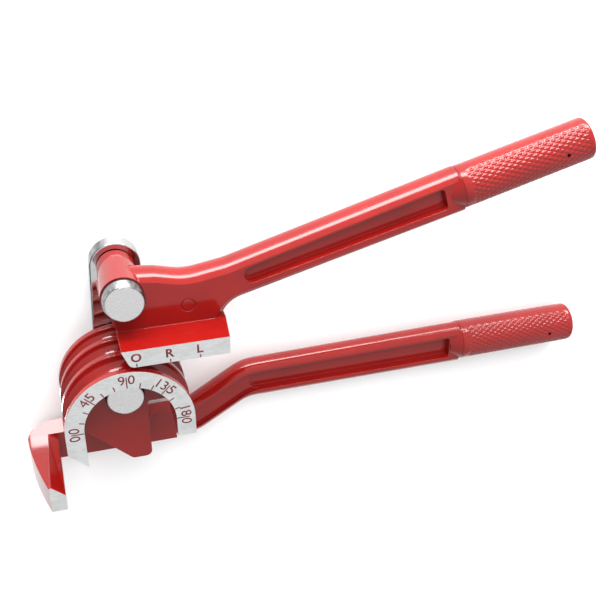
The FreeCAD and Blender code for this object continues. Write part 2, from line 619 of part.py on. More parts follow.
def pieces():
    """Every piece by its node's name, laid out from the former's axis."""
    lower = (LOWER_GRIP_START, LOWER_HANDLE_ANGLE, LOWER_GRIP_Z)
    upper = (UPPER_GRIP_START, UPPER_HANDLE_ANGLE, UPPER_GRIP_Z)
    found = {
        "former_casting": former_casting(),
        "lower_grip": grip(*lower),
        "lower_grip_pin": grip_pin(*lower),
        "bending_handle_casting": bending_handle_casting(),
        "upper_grip": grip(*upper),
        "upper_grip_pin": grip_pin(*upper),
        "link_plate": link_plate(),
    }
    pivots = (("former", FORMER_AXIS, HUB_FRONT_Z), ("handle", HANDLE_PIVOT, BOSS_FRONT_Z))
    for name, centre, seat_z in pivots:
        found[name + "_pivot_pin"] = pivot_pin(centre, seat_z)
        found[name + "_head_washer"] = head_washer(centre, seat_z)
        found[name + "_thrust_washer"] = thrust_washer(centre)
        found[name + "_back_washer"] = back_washer(centre)
        found[name + "_retaining_ring"] = retaining_ring(centre)
    return found


def footprint_centre(shapes):
    """Middle of the whole tool's box in X and Y."""
    box = Part.makeCompound(shapes).optimalBoundingBox(False)
    return Vector((box.XMin + box.XMax) / 2, (box.YMin + box.YMax) / 2, 0)


def main():
    os.makedirs("parts", exist_ok=True)
    found = pieces()
    centre = footprint_centre(list(found.values()))
    print("former axis at", round(-centre.x, 3), round(-centre.y, 3))
    print("handle pivot at", round(HANDLE_PIVOT[0] - centre.x, 3), round(HANDLE_PIVOT[1] - centre.y, 3))
    for name, solid in found.items():
        solid.translate(centre * -1)
        if not solid.isValid():
            raise ValueError(name + " is not valid")
        solid.exportStep("parts/" + name + ".step")
        print(name, round(solid.Volume, 1))


main()
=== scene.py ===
import json
import math

import bmesh
import bpy
from mathutils import Matrix, Quaternion, Vector


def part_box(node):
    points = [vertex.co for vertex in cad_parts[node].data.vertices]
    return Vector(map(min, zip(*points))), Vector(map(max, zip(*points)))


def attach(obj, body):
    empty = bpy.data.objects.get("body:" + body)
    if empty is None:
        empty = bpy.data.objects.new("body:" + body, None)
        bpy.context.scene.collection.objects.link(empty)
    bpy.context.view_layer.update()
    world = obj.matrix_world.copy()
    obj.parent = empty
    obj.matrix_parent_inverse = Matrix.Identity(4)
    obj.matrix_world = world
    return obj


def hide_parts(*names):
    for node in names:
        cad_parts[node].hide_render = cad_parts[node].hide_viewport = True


# Looks of the tube bender: glossy red castings with milled faces, knurled grips, chromed link and
# pins, and the painted-in marks of the scale. Lengths are in metres unless a name ends in _MM.

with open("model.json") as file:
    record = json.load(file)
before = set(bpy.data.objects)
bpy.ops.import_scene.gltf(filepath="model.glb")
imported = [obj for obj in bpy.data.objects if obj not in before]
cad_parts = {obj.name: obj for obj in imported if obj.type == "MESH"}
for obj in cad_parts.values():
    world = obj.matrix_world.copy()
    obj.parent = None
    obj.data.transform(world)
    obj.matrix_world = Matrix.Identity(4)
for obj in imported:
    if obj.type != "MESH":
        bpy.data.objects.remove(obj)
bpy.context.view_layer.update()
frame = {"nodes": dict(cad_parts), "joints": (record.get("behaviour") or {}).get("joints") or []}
MM = 0.001

# ---------- Places read from the frame ----------

JOINT_PLACES = {joint["name"]: Vector(joint["pos_m"]) for joint in frame["joints"]}
FORMER_AXIS = JOINT_PLACES["link_swing"]
FRONT_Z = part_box("former_casting")[1].z         # the milled plane

# ---------- Sizes of what is added ----------

RING_INNER_MM = 17.0
MARK_STEP_DEG = 15
LONG_MARK_EVERY = 3
MARK_WIDTH_MM = 0.46
MARK_END_STEPS = 5              # mesh steps round the end of a mark
MARK_FROM_BORE_MM = 0.25        # bare metal between the ring's inner edge and the marks
SHORT_MARK_MM = 1.7
LONG_MARK_MM = 4.4
DIGIT_HEIGHT_MM = 3.9
DIGIT_WEIGHT = 0.008            # how much the strokes are swollen, in letter sizes
PLAIN_DIGIT = "4"               # its strokes stay as they are, so that it keeps its opening
DIGIT_MIDDLE_MM = 20.7          # radius of the digits' middle line
DIGIT_FROM_MARK_MM = 0.55       # between a long mark and the digits beside it
SCALE_LABELS = (("0", "0", 0), ("4", "5", 45), ("9", "0", 90), ("13", "5", 135), ("18", "0", 180))
GLYPH_CURVE_STEPS = 5
INK_PROUD_MM = 0.012            # how far the filled-in marks stand over the milled face
INK_DEPTH_MM = 0.05
LETTER_HEIGHT_MM = 3.6
LETTER_WEIGHT = 0.03
STRIP_BOTTOM_MM = 25.6          # lower edge of the shoe's strip, from the former's axis
LETTERS_MIDDLE_MM = 29.6
LETTER_PLACES_MM = (("O", 4.3), ("R", 16.4), ("L", 27.3))
LETTER_MARK_MM = 1.0
LETTER_MARK_FROM_EDGE_MM = 0.3

GRIP_ANGLES_DEG = {"lower_grip": 0.8, "upper_grip": 15.8}
KNURL_STARTS = 26               # grooves each way round a grip
KNURL_LENGTH_MM = 3.5           # one diamond, along the grip
KNURL_DEPTH_MM = 0.42
KNURL_FROM_MM = 2.6             # smooth collar at the grip's start
KNURL_TO_END_MM = 1.0           # smooth stretch before the rounded end
KNURL_SAMPLES = 8               # mesh steps per diamond, both ways
KNURL_RAMP_MM = 1.6             # length over which the pattern rises to its full depth
KNURL_LEAD_MM = 0.4             # plain ring of the mesh just before the pattern
KNURL_OVER_ROUNDING = 0.6       # share of the end's rounding that is added to the pattern's length
DIAMOND_RISE = 1.2              # over 1, so that each diamond gets a small flat top
GRIP_END_MM = 1.0               # rounding of the grip's end
GRIP_END_STEPS = 6
GRIP_END_HUB_MM = 2.5           # radius of the inner ring of the end face
GRIP_RIM_MM = 0.5               # rounding of the rim at the grip's start
GRIP_RIM_MIDDLE_MM = 0.15
GRIP_BORE_MM = 5.0              # radius of the hole for the tang
GRIP_CAP_MM = 5.0               # closed end of the grip
DRILL_SIDES = 32
DRILL_PLAY = 1.02               # the hole's radius over the pin's
DRILL_LENGTH = 0.03
PARTING_FADE_DEG = (14.0, 34.0) # the knurl fades out towards the mould's parting line


# ---------- Node helpers ----------

BEVEL_SAMPLES = 6
MILLED_BELOW_TOP = 0.05 * MM    # how far under the milled plane a face still counts as in it
MILLED_NORMAL_Z = 0.99


class Shader:
    """One material's node tree, with short calls for the nodes used here."""

    def __init__(self, name):
        self.material = bpy.data.materials.new(name)
        self.material.use_nodes = True
        self.tree = self.material.node_tree
        self.tree.nodes.clear()
        self.output = self.tree.nodes.new("ShaderNodeOutputMaterial")
        self.coordinates = self.tree.nodes.new("ShaderNodeTexCoord").outputs["Object"]

    def link(self, source, target):
        self.tree.links.new(source, target)

    def put(self, socket, value):
        if isinstance(value, bpy.types.NodeSocket):
            self.link(value, socket)
        else:
            socket.default_value = value

    def principled(self, **values):
        node = self.tree.nodes.new("ShaderNodeBsdfPrincipled")
        for name, value in values.items():
            self.put(node.inputs[name.replace("_", " ")], value)
        return node

    def noise(self, scale, detail=3.0, roughness=0.5, stretch=None, turn=0.0):
        node = self.tree.nodes.new("ShaderNodeTexNoise")
        node.inputs["Scale"].default_value = scale
        node.inputs["Detail"].default_value = detail
        node.inputs["Roughness"].default_value = roughness
        source = self.coordinates
        if stretch is not None:
            mapping = self.tree.nodes.new("ShaderNodeMapping")
            mapping.inputs["Scale"].default_value = stretch
            mapping.inputs["Rotation"].default_value = (0, 0, turn)
            self.link(source, mapping.inputs["Vector"])
            source = mapping.outputs["Vector"]
        self.link(source, node.inputs["Vector"])
        return node.outputs["Fac"]

    def spread(self, source, low, high, from_low=0.3, from_high=0.7):
        """Maps a texture's middle range to low..high."""
        node = self.tree.nodes.new("ShaderNodeMapRange")
        node.inputs["From Min"].default_value = from_low
        node.inputs["From Max"].default_value = from_high
        node.inputs["To Min"].default_value = low
        node.inputs["To Max"].default_value = high
        self.link(source, node.inputs["Value"])
        return node.outputs["Result"]

    def math(self, operation, first, second=0.0):
        node = self.tree.nodes.new("ShaderNodeMath")
        node.operation = operation
        self.put(node.inputs[0], first)
        self.put(node.inputs[1], second)
        return node.outputs[0]

    def blend(self, share, first, second):
        node = self.tree.nodes.new("ShaderNodeMix")
        node.data_type = "RGBA"
        self.put(node.inputs[0], share)
        self.put(node.inputs[6], first)
        self.put(node.inputs[7], second)
        return node.outputs[2]

    def bump(self, height, distance, strength=1.0, normal=None):
        node = self.tree.nodes.new("ShaderNodeBump")
        node.inputs["Distance"].default_value = distance
        node.inputs["Strength"].default_value = strength
        self.link(height, node.inputs["Height"])
        if normal is not None:
            self.link(normal, node.inputs["Normal"])
        return node.outputs["Normal"]

    def rounded_edges(self, radius):
        node = self.tree.nodes.new("ShaderNodeBevel")
        node.samples = BEVEL_SAMPLES
        node.inputs["Radius"].default_value = radius
        return node.outputs["Normal"]

    def flat_front(self):
        """1 on faces that look along +Z in the milled plane, 0 elsewhere."""
        split = self.tree.nodes.new("ShaderNodeSeparateXYZ")
        self.link(self.coordinates, split.inputs[0])
        geometry = self.tree.nodes.new("ShaderNodeNewGeometry")
        normal = self.tree.nodes.new("ShaderNodeSeparateXYZ")
        self.link(geometry.outputs["True Normal"], normal.inputs[0])
        high = self.math("GREATER_THAN", split.outputs["Z"], FRONT_Z - MILLED_BELOW_TOP)
        level = self.math("GREATER_THAN", normal.outputs["Z"], MILLED_NORMAL_Z)
        return self.math("MULTIPLY", high, level)

    def finish(self, shader):
        self.link(shader, self.output.inputs["Surface"])
        return self.material


# ---------- Materials ----------

PAINT_RED = (0.23, 0.0055, 0.0040, 1)
PAINT_DEEP = (0.19, 0.0042, 0.0032, 1)
PAINT_DRIFT = 55                # scale of the slow colour drift
PAINT_GLOSS_GRAIN = 420
PEEL_GRAIN = 900                # scale of the orange peel
PEEL_DEPTH = 0.006 * MM
PEEL_STRENGTH = 0.6
PAINT_EDGE = 0.35 * MM          # how softly the paint rounds an edge
BARE_METAL = (0.80, 0.815, 0.81, 1)
BARE_METAL_DARK = (0.67, 0.69, 0.69, 1)
CUTTER_LEAN = math.radians(55)
METAL_EDGE = 0.2 * MM
GRAIN_STRENGTH = 0.5
STREAK_GRAIN = 500
CHROME_BRIGHT = (0.66, 0.67, 0.68, 1)
CHROME_DULL = (0.58, 0.59, 0.60, 1)
# painted shade: dark colour painted on the link's edge towards -X and +X
CHROME_PAINTED_SHADE = (0.05, 0.052, 0.056, 1)
SATIN_BRIGHT = (0.79, 0.78, 0.79, 1)
SATIN_DULL = (0.69, 0.68, 0.69, 1)
# painted shade: dark colour painted on the pins' bevels and sides towards -X and +X
SATIN_PAINTED_SHADE = (0.05, 0.052, 0.055, 1)
ZINC_BRIGHT = (0.62, 0.63, 0.62, 1)
ZINC_DULL = (0.5, 0.51, 0.5, 1)
SPRING_BRIGHT = (0.05, 0.05, 0.055, 1)
SPRING_DULL = (0.03, 0.03, 0.032, 1)
OILED_BRIGHT = (0.16, 0.03, 0.03, 1)
OILED_DULL = (0.08, 0.02, 0.02, 1)
INK_DEEP = (0.09, 0.008, 0.013, 1)
INK_WORN = (0.14, 0.014, 0.022, 1)
FLOOR_DULL = (0.86, 0.86, 0.865, 1)
FLOOR_WHITE = (0.88, 0.88, 0.88, 1)
FLOOR_GLOW_COLOUR = (1.0, 0.99, 1.0, 1)
FLOOR_GLOW = 0.04


def enamel(shader, gloss_low, gloss_high, edges=None):
    """Gloss enamel with a slow colour drift and a fine orange peel over the given normal."""
    drift = shader.spread(shader.noise(PAINT_DRIFT, 2), 0, 1)
    colour = shader.blend(drift, PAINT_DEEP, PAINT_RED)
    gloss = shader.spread(shader.noise(PAINT_GLOSS_GRAIN, 3), gloss_low, gloss_high)
    peel = shader.bump(shader.noise(PEEL_GRAIN, 2), PEEL_DEPTH, PEEL_STRENGTH, edges)
    return shader.principled(Base_Color=colour, Roughness=gloss, Normal=peel)


def milled_shader(shader):
    """Bare cast metal after a cutter's pass: bright, mottled, with fine slanting lines."""
    lines = shader.noise(260, 4, 0.6, stretch=(1, 9, 1), turn=CUTTER_LEAN)
    clouds = shader.noise(300, 5, 0.65)
    mixed = shader.spread(shader.math("ADD", lines, clouds), 0, 1, 0.75, 1.15)
    colour = shader.blend(mixed, BARE_METAL_DARK, BARE_METAL)
    rough = shader.spread(clouds, 0.30, 0.48)
    normal = shader.bump(lines, 0.01 * MM, GRAIN_STRENGTH)
    return shader.principled(Base_Color=colour, Metallic=1.0, Roughness=rough, Normal=normal)


def casting_material():
    """Enamel with softly rounded edges, bare metal in the milled plane."""
    shader = Shader("gloss_red_milled_front")
    paint = enamel(shader, 0.09, 0.15, shader.rounded_edges(PAINT_EDGE))
    milled = milled_shader(shader)
    mix = shader.tree.nodes.new("ShaderNodeMixShader")
    shader.link(shader.flat_front(), mix.inputs[0])
    shader.link(paint.outputs[0], mix.inputs[1])
    shader.link(milled.outputs[0], mix.inputs[2])
    return shader.finish(mix.outputs[0])


def grip_material():
    shader = Shader("gloss_red_knurl")
    return shader.finish(enamel(shader, 0.12, 0.2).outputs[0])


def metal_surface(shader, texture, colour, rough_low, rough_high, depth):
    """Metal of the given colour, whose gloss and relief follow one texture."""
    rough = shader.spread(texture, rough_low, rough_high)
    soft = shader.rounded_edges(METAL_EDGE)
    normal = shader.bump(texture, depth, GRAIN_STRENGTH, soft)
    node = shader.principled(Base_Color=colour, Metallic=1.0, Roughness=rough, Normal=normal)
    return shader.finish(node.outputs[0])


def speckled(shader, texture, dull, bright):
    return shader.blend(shader.spread(texture, 0, 1), dull, bright)


def metal_material(name, bright, dull, rough_low, rough_high, grain, depth):
    """Bare or blackened metal with a fine grain in colour, gloss and relief."""
    shader = Shader(name)
    texture = shader.noise(grain, 4, 0.6)
    colour = speckled(shader, texture, dull, bright)
    return metal_surface(shader, texture, colour, rough_low, rough_high, depth)


def painted_shade_streaks_towards(shader, first, last):
    """Share of painted shade in dark streaks: none where the normal's X is first, all where it is
    last, so the sides facing that way are painted darker in place of dark reflections.
    """
    geometry = shader.tree.nodes.new("ShaderNodeNewGeometry")
    split = shader.tree.nodes.new("ShaderNodeSeparateXYZ")
    shader.link(geometry.outputs["Normal"], split.inputs[0])
    low, high = min(first, last), max(first, last)
    at_low, at_high = (0.0, 1.0) if first < last else (1.0, 0.0)
    # painted shade: the side mask picks the faces turned one way, and the noise breaks that shade
    # into streaks
    side = shader.spread(split.outputs["X"], at_low, at_high, low, high)
    streaks = shader.spread(shader.noise(STREAK_GRAIN, 3, 0.6, stretch=(1, 1, 0.15)), 0.55, 1.0)
    return shader.math("MULTIPLY", side, streaks)


def link_material():
    """Chrome plate whose ground edge carries painted shade in dark streaks, most of all towards -X,
    in place of dark reflections.
    """
    shader = Shader("chrome_plate")
    texture = shader.noise(300, 4, 0.6)
    plated = speckled(shader, texture, CHROME_DULL, CHROME_BRIGHT)
    # painted shade: the link's sides towards -X and +X are painted darker in streaks
    left = painted_shade_streaks_towards(shader, -0.1, -0.5)
    right = painted_shade_streaks_towards(shader, 0.3, 1.2)
    colour = shader.blend(shader.math("ADD", left, right), plated, CHROME_PAINTED_SHADE)
    return metal_surface(shader, texture, colour, 0.05, 0.11, 0.004 * MM)


def pin_material():
    """Satin face, with a polished bevel and side that carry painted shade, darker towards -X and +X.
    """
    shader = Shader("pin_steel")
    texture = shader.noise(1300, 4, 0.6)
    satin = speckled(shader, texture, SATIN_DULL, SATIN_BRIGHT)
    # painted shade: the bevel and side towards -X and +X are painted darker in streaks
    left = painted_shade_streaks_towards(shader, -0.05, -0.4)
    right = painted_shade_streaks_towards(shader, 0.15, 0.4)
    colour = shader.blend(shader.math("ADD", left, right), satin, SATIN_PAINTED_SHADE)
    return metal_surface(shader, texture, colour, 0.16, 0.3, 0.012 * MM)


def ink_material():
    """Matt maroon filler, a little worn."""
    shader = Shader("maroon_fill")
    worn = shader.spread(shader.noise(900, 4), 0, 1)
    colour = shader.blend(worn, INK_DEEP, INK_WORN)
    rough = shader.spread(worn, 0.35, 0.55, 0, 1)
    return shader.finish(shader.principled(Base_Color=colour, Roughness=rough).outputs[0])


def floor_material():
    """White sweep that glows a little, like a lit table."""
    shader = Shader("white_sweep")
    tone = shader.spread(shader.noise(3, 2), 0, 1)
    colour = shader.blend(tone, FLOOR_DULL, FLOOR_WHITE)
    node = shader.principled(Base_Color=colour, Roughness=0.6)
    node.inputs["Emission Color"].default_value = FLOOR_GLOW_COLOUR
    node.inputs["Emission Strength"].default_value = FLOOR_GLOW
    return shader.finish(node.outputs[0])


def dress(node, material):
    """Gives a carried-over CAD node its material."""
    obj = frame["nodes"][node]
    obj.data.materials.clear()
    obj.data.materials.append(material)


# ---------- Meshes ----------

def new_piece(name, mesh, material, body):
    obj = bpy.data.objects.new(name, mesh)
    bpy.context.scene.collection.objects.link(obj)
    mesh.materials.clear()
    mesh.materials.append(material)
    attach(obj, body)
    return obj


def ink_plate(outline):
    """Closed thin plate of ink in the milled face, from a list of 2D points."""
    mesh = bmesh.new()
    low = FRONT_Z - INK_DEPTH_MM * MM
    high = FRONT_Z + INK_PROUD_MM * MM
    ring_low = [mesh.verts.new((p.x, p.y, low)) for p in outline]
    ring_high = [mesh.verts.new((p.x, p.y, high)) for p in outline]
    mesh.faces.new(ring_high)
    mesh.faces.new(list(reversed(ring_low)))
    count = len(outline)
    for i in range(count):
        j = (i + 1) % count
        mesh.faces.new((ring_low[i], ring_low[j], ring_high[j], ring_high[i]))
    return mesh


def bar_outline(start, end, width):
    """Round-ended stroke from start to end."""
    direction = (end - start).normalized()
    across = Vector((-direction.y, direction.x))
    points = []
    for centre, sign in ((end, 1), (start, -1)):
        for i in range(MARK_END_STEPS + 1):
            turn = math.pi * (i / MARK_END_STEPS - 0.5)
            out = direction * math.cos(turn) * sign + across * math.sin(turn) * sign
            points.append(centre + out * (width / 2))
    return points


def glyph_mesh(text, height, weight):
    """Text as a thin plate, centred on its own box, lying in XY."""
    curve = bpy.data.curves.new("glyph_" + text, "FONT")
    curve.body = text
    curve.size = 1.0
    curve.offset = weight
    curve.resolution_u = GLYPH_CURVE_STEPS
    obj = bpy.data.objects.new("glyph_" + text, curve)
    bpy.context.scene.collection.objects.link(obj)
    bpy.context.view_layer.update()
    mesh = bpy.data.meshes.new_from_object(obj.evaluated_get(bpy.context.evaluated_depsgraph_get()))
    bpy.data.objects.remove(obj)
    bpy.data.curves.remove(curve)
    low = Vector((min(v.co.x for v in mesh.vertices), min(v.co.y for v in mesh.vertices), 0))
    high = Vector((max(v.co.x for v in mesh.vertices), max(v.co.y for v in mesh.vertices), 0))
    size = height / (high.y - low.y)
    mesh.transform(Matrix.Scale(size, 4) @ Matrix.Translation(-(low + high) / 2))
    return mesh, (high.x - low.x) * size


def thicken(mesh):
    """Turns flat glyph faces at z 0 into a closed plate set in the milled face."""
    work = bmesh.new()
    work.from_mesh(mesh)
    bmesh.ops.remove_doubles(work, verts=work.verts, dist=1e-6)
    for vert in work.verts:
        vert.co.z = FRONT_Z + INK_PROUD_MM * MM
    bmesh.ops.recalc_face_normals(work, faces=work.faces)
    made = bmesh.ops.extrude_face_region(work, geom=list(work.faces))
    for item in made["geom"]:
        if isinstance(item, bmesh.types.BMVert):
            item.co.z = FRONT_Z - INK_DEPTH_MM * MM
    bmesh.ops.recalc_face_normals(work, faces=work.faces)
    return work


def join_into(name, parts):
    """One mesh from several bmeshes."""
    whole = bmesh.new()
    for part in parts:
        part_mesh = bpy.data.meshes.new(name + "_part")
        part.to_mesh(part_mesh)
        part.free()
        whole.from_mesh(part_mesh)
        bpy.data.meshes.remove(part_mesh)
    mesh = bpy.data.meshes.new(name)
    whole.to_mesh(mesh)
    whole.free()
    return mesh


def glyph_at(text, height, weight, place, turn):
    """Glyph as a plate in the milled face, centred on a place and turned."""
    mesh, _ = glyph_mesh(text, height, weight)
    mesh.transform(Matrix.Translation((place.x, place.y, 0)) @ Matrix.Rotation(turn, 4, "Z"))
    plate = thicken(mesh)
    bpy.data.meshes.remove(mesh)
    return plate


# ---------- The scale and the index letters ----------

def polar(radius_mm, angle):
    """Point round the former's axis; angle 0 is along +X."""
    direction = Vector((math.cos(angle), math.sin(angle)))
    return Vector((FORMER_AXIS.x, FORMER_AXIS.y)) + direction * radius_mm * MM


def scale_marks():
    """Ticks of the scale, from 0 at the left to 180 at the right."""
    parts = []
    for step in range(0, 180 // MARK_STEP_DEG + 1):
        angle = math.pi - math.radians(step * MARK_STEP_DEG)
        length = LONG_MARK_MM if step % LONG_MARK_EVERY == 0 else SHORT_MARK_MM
        start = polar(RING_INNER_MM + MARK_FROM_BORE_MM, angle)
        end = polar(RING_INNER_MM + MARK_FROM_BORE_MM + length, angle)
        parts.append(ink_plate(bar_outline(start, end, MARK_WIDTH_MM * MM)))
    return parts


def scale_digits():
    """Numbers of the scale, split by their long ticks."""
    parts = []
    height = DIGIT_HEIGHT_MM * MM
    for before, after, mark in SCALE_LABELS:
        for text, side in ((before, -1), (after, 1)):
            weight = 0.0 if text == PLAIN_DIGIT else DIGIT_WEIGHT
            mesh, width = glyph_mesh(text, height, weight)
            bpy.data.meshes.remove(mesh)
            away = side * (width / MM / 2 + DIGIT_FROM_MARK_MM) / DIGIT_MIDDLE_MM
            angle = math.pi - math.radians(mark) - away
            place = polar(DIGIT_MIDDLE_MM, angle)
            parts.append(glyph_at(text, height, weight, place, angle - math.pi / 2))
    return parts


def index_letters():
    """Letters and ticks on the shoe's milled strip."""
    parts = []
    for text, x in LETTER_PLACES_MM:
        place = Vector((FORMER_AXIS.x + x * MM, FORMER_AXIS.y + LETTERS_MIDDLE_MM * MM))
        parts.append(glyph_at(text, LETTER_HEIGHT_MM * MM, LETTER_WEIGHT, place, 0))
        foot = Vector((place.x, FORMER_AXIS.y + (STRIP_BOTTOM_MM + LETTER_MARK_FROM_EDGE_MM) * MM))
        top = foot + Vector((0, LETTER_MARK_MM * MM))
        parts.append(ink_plate(bar_outline(foot, top, MARK_WIDTH_MM * MM)))
    return parts


# ---------- Knurled grips ----------

def smooth_step(value, low, high):
    share = min(1.0, max(0.0, (value - low) / (high - low)))
    return share * share * (3 - 2 * share)


def knurl_height(turn, distance_mm):
    """Height of the diamond pattern, 0 in a groove and 1 on a diamond."""
    round_share = turn / (2 * math.pi) * KNURL_STARTS
    along_share = distance_mm / KNURL_LENGTH_MM
    first = abs(math.sin(math.pi * (round_share + along_share)))
    second = abs(math.sin(math.pi * (round_share - along_share)))
    return min(1.0, DIAMOND_RISE * min(first, second))


def parting_fade(turn):
    """0 at the parting line, where the grip is smooth, and 1 on the faces towards +Z and -Z."""
    away = math.degrees(abs(math.asin(math.sin(turn))))
    return smooth_step(away, *PARTING_FADE_DEG)


def grip_rows(length_mm, radius_mm):
    """(distance, radius, knurl share) down the outside of a grip, then back up its bore."""
    step = KNURL_LENGTH_MM / KNURL_SAMPLES
    round_mm = GRIP_END_MM
    rows = [(0.0, GRIP_BORE_MM, 0.0),
            (0.0, radius_mm - GRIP_RIM_MM, 0.0),
            (GRIP_RIM_MIDDLE_MM, radius_mm - GRIP_RIM_MIDDLE_MM, 0.0),
            (GRIP_RIM_MM, radius_mm, 0.0)]
    first = KNURL_FROM_MM
    last = length_mm - round_mm - KNURL_TO_END_MM + round_mm * KNURL_OVER_ROUNDING
    count = round((last - first) / step)
    rows.append((first - KNURL_LEAD_MM, radius_mm, 0.0))
    for i in range(count + 1):
        at = first + i * step
        share = smooth_step(min(at - first, last - at), 0.0, KNURL_RAMP_MM)
        rows.append((at, radius_mm, share))
    for i in range(GRIP_END_STEPS + 1):
        turn = math.pi / 2 * i / GRIP_END_STEPS
        rows.append((length_mm - round_mm + round_mm * math.sin(turn),
                     radius_mm - round_mm + round_mm * math.cos(turn), 0.0))
    rows.append((length_mm, GRIP_END_HUB_MM, 0.0))
    rows.append((length_mm, 0.0, 0.0))
    inside = [(length_mm - GRIP_CAP_MM, 0.0, 0.0), (length_mm - GRIP_CAP_MM, GRIP_BORE_MM, 0.0)]
    return rows, inside


def grip_mesh(node):
    """Closed sleeve with real diamonds, on the CAD grip's axis and inside its size."""
    low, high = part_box(node)
    middle = (low + high) / 2
    angle = math.radians(GRIP_ANGLES_DEG[node])
    radius_mm = (high.z - low.z) / 2 / MM
    width = (high.x - low.x) / MM
    length_mm = (width - 2 * radius_mm * math.sin(angle)) / math.cos(angle)
    rows, inside = grip_rows(length_mm, radius_mm)
    around = KNURL_STARTS * KNURL_SAMPLES
    work = bmesh.new()

    def ring(row):
        distance, radius, share = row
        made = []
        for i in range(around):
            turn = 2 * math.pi * i / around
            r = radius
            if share > 0:
                deep = (1 - knurl_height(turn, distance)) * share * parting_fade(turn)
                r = radius - KNURL_DEPTH_MM * deep
            place = (distance * MM, math.cos(turn) * r * MM, math.sin(turn) * r * MM)
            made.append(work.verts.new(place))
        return made

    def skin(first, second):
        for i in range(around):
            j = (i + 1) % around
            work.faces.new((first[i], first[j], second[j], second[i]))

    def cap(loop, distance, flip):
        hub = work.verts.new((distance * MM, 0, 0))
        for i in range(around):
            j = (i + 1) % around
            work.faces.new((loop[j], loop[i], hub) if flip else (loop[i], loop[j], hub))

    loops = [ring(row) for row in rows if row[1] > 0]
    for first, second in zip(loops, loops[1:]):
        skin(first, second)
    cap(loops[-1], rows[-1][0], False)
    bore = ring(inside[1])
    skin(bore, loops[0])
    cap(bore, inside[0][0], True)
    bmesh.ops.recalc_face_normals(work, faces=work.faces)
    for face in work.faces:
        face.smooth = True
    mesh = bpy.data.meshes.new(node + "_knurled")
    work.to_mesh(mesh)
    work.free()
    turn = Matrix.Rotation(angle, 4, "Z")
    start = middle - turn @ Vector((length_mm / 2 * MM, 0, 0))
    mesh.transform(Matrix.Translation(start) @ turn)
    return mesh


def drill(obj, node_pin):
    """Cuts the cross pin's hole through a grip."""
    low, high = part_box(node_pin)
    middle = (low + high) / 2
    cutter_mesh = bpy.data.meshes.new("drill")
    work = bmesh.new()
    radius = (high.x - low.x) / 2 * DRILL_PLAY
    bmesh.ops.create_cone(work, cap_ends=True, segments=DRILL_SIDES, radius1=radius, radius2=radius,
                          depth=DRILL_LENGTH)
    work.to_mesh(cutter_mesh)
    work.free()
    cutter = bpy.data.objects.new("drill", cutter_mesh)
    cutter.location = middle
    bpy.context.scene.collection.objects.link(cutter)
    bpy.context.view_layer.update()
    modifier = obj.modifiers.new("pin_hole", "BOOLEAN")
    modifier.object = cutter
    modifier.operation = "DIFFERENCE"
    modifier.solver = "EXACT"
    graph = bpy.context.evaluated_depsgraph_get()
    mesh = bpy.data.meshes.new_from_object(obj.evaluated_get(graph), depsgraph=graph)
    obj.modifiers.clear()
    old = obj.data
    obj.data = mesh
    bpy.data.meshes.remove(old)
    bpy.data.objects.remove(cutter)
    bpy.data.meshes.remove(cutter_mesh)


# ---------- Building the looks ----------

def dress_frame():
    casting = casting_material()
    pin = pin_material()
    zinc = metal_material("zinc_washer", ZINC_BRIGHT, ZINC_DULL, 0.25, 0.4, 800, 0.01 * MM)
    black = metal_material("black_spring_steel", SPRING_BRIGHT, SPRING_DULL, 0.3, 0.5, 800, 0.01 * MM)
    oiled = metal_material("oiled_pin", OILED_BRIGHT, OILED_DULL, 0.3, 0.45, 800, 0.01 * MM)
    for node in ("former_casting", "bending_handle_casting"):
        dress(node, casting)
    dress("link_plate", link_material())
    for side in ("former", "handle"):
        dress(side + "_pivot_pin", pin)
        dress(side + "_head_washer", black)
        dress(side + "_thrust_washer", black)
        dress(side + "_back_washer", zinc)
        dress(side + "_retaining_ring", black)
    for node in ("lower_grip_pin", "upper_grip_pin"):
        dress(node, oiled)


def add_marks():
    ink = ink_material()
    scale = join_into("scale_marks", scale_marks() + scale_digits())
    new_piece("scale_marks", scale, ink, "former_body")
    letters = join_into("index_letters", index_letters())
    new_piece("index_letters", letters, ink, "bending_handle")


def add_grips():
    material = grip_material()
    for node, body in (("lower_grip", "former_body"), ("upper_grip", "bending_handle")):
        obj = new_piece(node + "_knurled", grip_mesh(node), material, body)
        drill(obj, node + "_pin")
        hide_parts(node)


# ---------- Stage, light and camera ----------

CAMERA_TARGET = Vector((FORMER_AXIS.x, FORMER_AXIS.y, 0)) + Vector((0.074852, 0.023706, 0.020))
CAMERA_DISTANCE = 0.3755
CAMERA_AZIMUTH_DEG = 205.06     # 0 looks along +Y
CAMERA_ELEVATION_DEG = 55.25
CAMERA_ROLL_DEG = 150.8         # the picture is turned, so that +Y is at its top
CAMERA_LENS_MM = 55.3
CAMERA_SENSOR_MM = 36
CAMERA_NEAR = 0.01
CAMERA_FAR = 20
BAR_TOP_MM = -24.5              # upper edge of the bar, from the former's axis
CARD_WIDTH = 0.014
CARD_DEPTH = 0.013
CARD_RADIANCE = 11.0
CARD_GAP = 0.5 * MM             # between the bar and the card
CARD_Z = 0.3 * MM
FLOOR_HALF = 3.0
KEY_DIRECTION = (0.05, 0.97, 0.15)      # from +Y, low over the table
KEY_DISTANCE = 0.6
KEY_WIDTH = 0.7
KEY_HEIGHT = 0.2
KEY_POWER = 7.0
WASH_DIRECTION = (0.0, 0.8, 0.62)       # from +Y and higher, not mirrored in the gloss
WASH_DISTANCE = 0.8
WASH_WIDTH = 0.5
WASH_HEIGHT = 0.4
WASH_POWER = 6.0
HORIZON_STRENGTH = 1.9
CEILING_STRENGTH = 1.1
CEILING_FROM = 0.3              # height, in a direction's own Z, above which the ceiling is even
NEAR_SIDE_STRENGTH = 0.7        # share of the light that comes from -Y
LEFT_SIDE_STRENGTH = 0.45       # and from -X


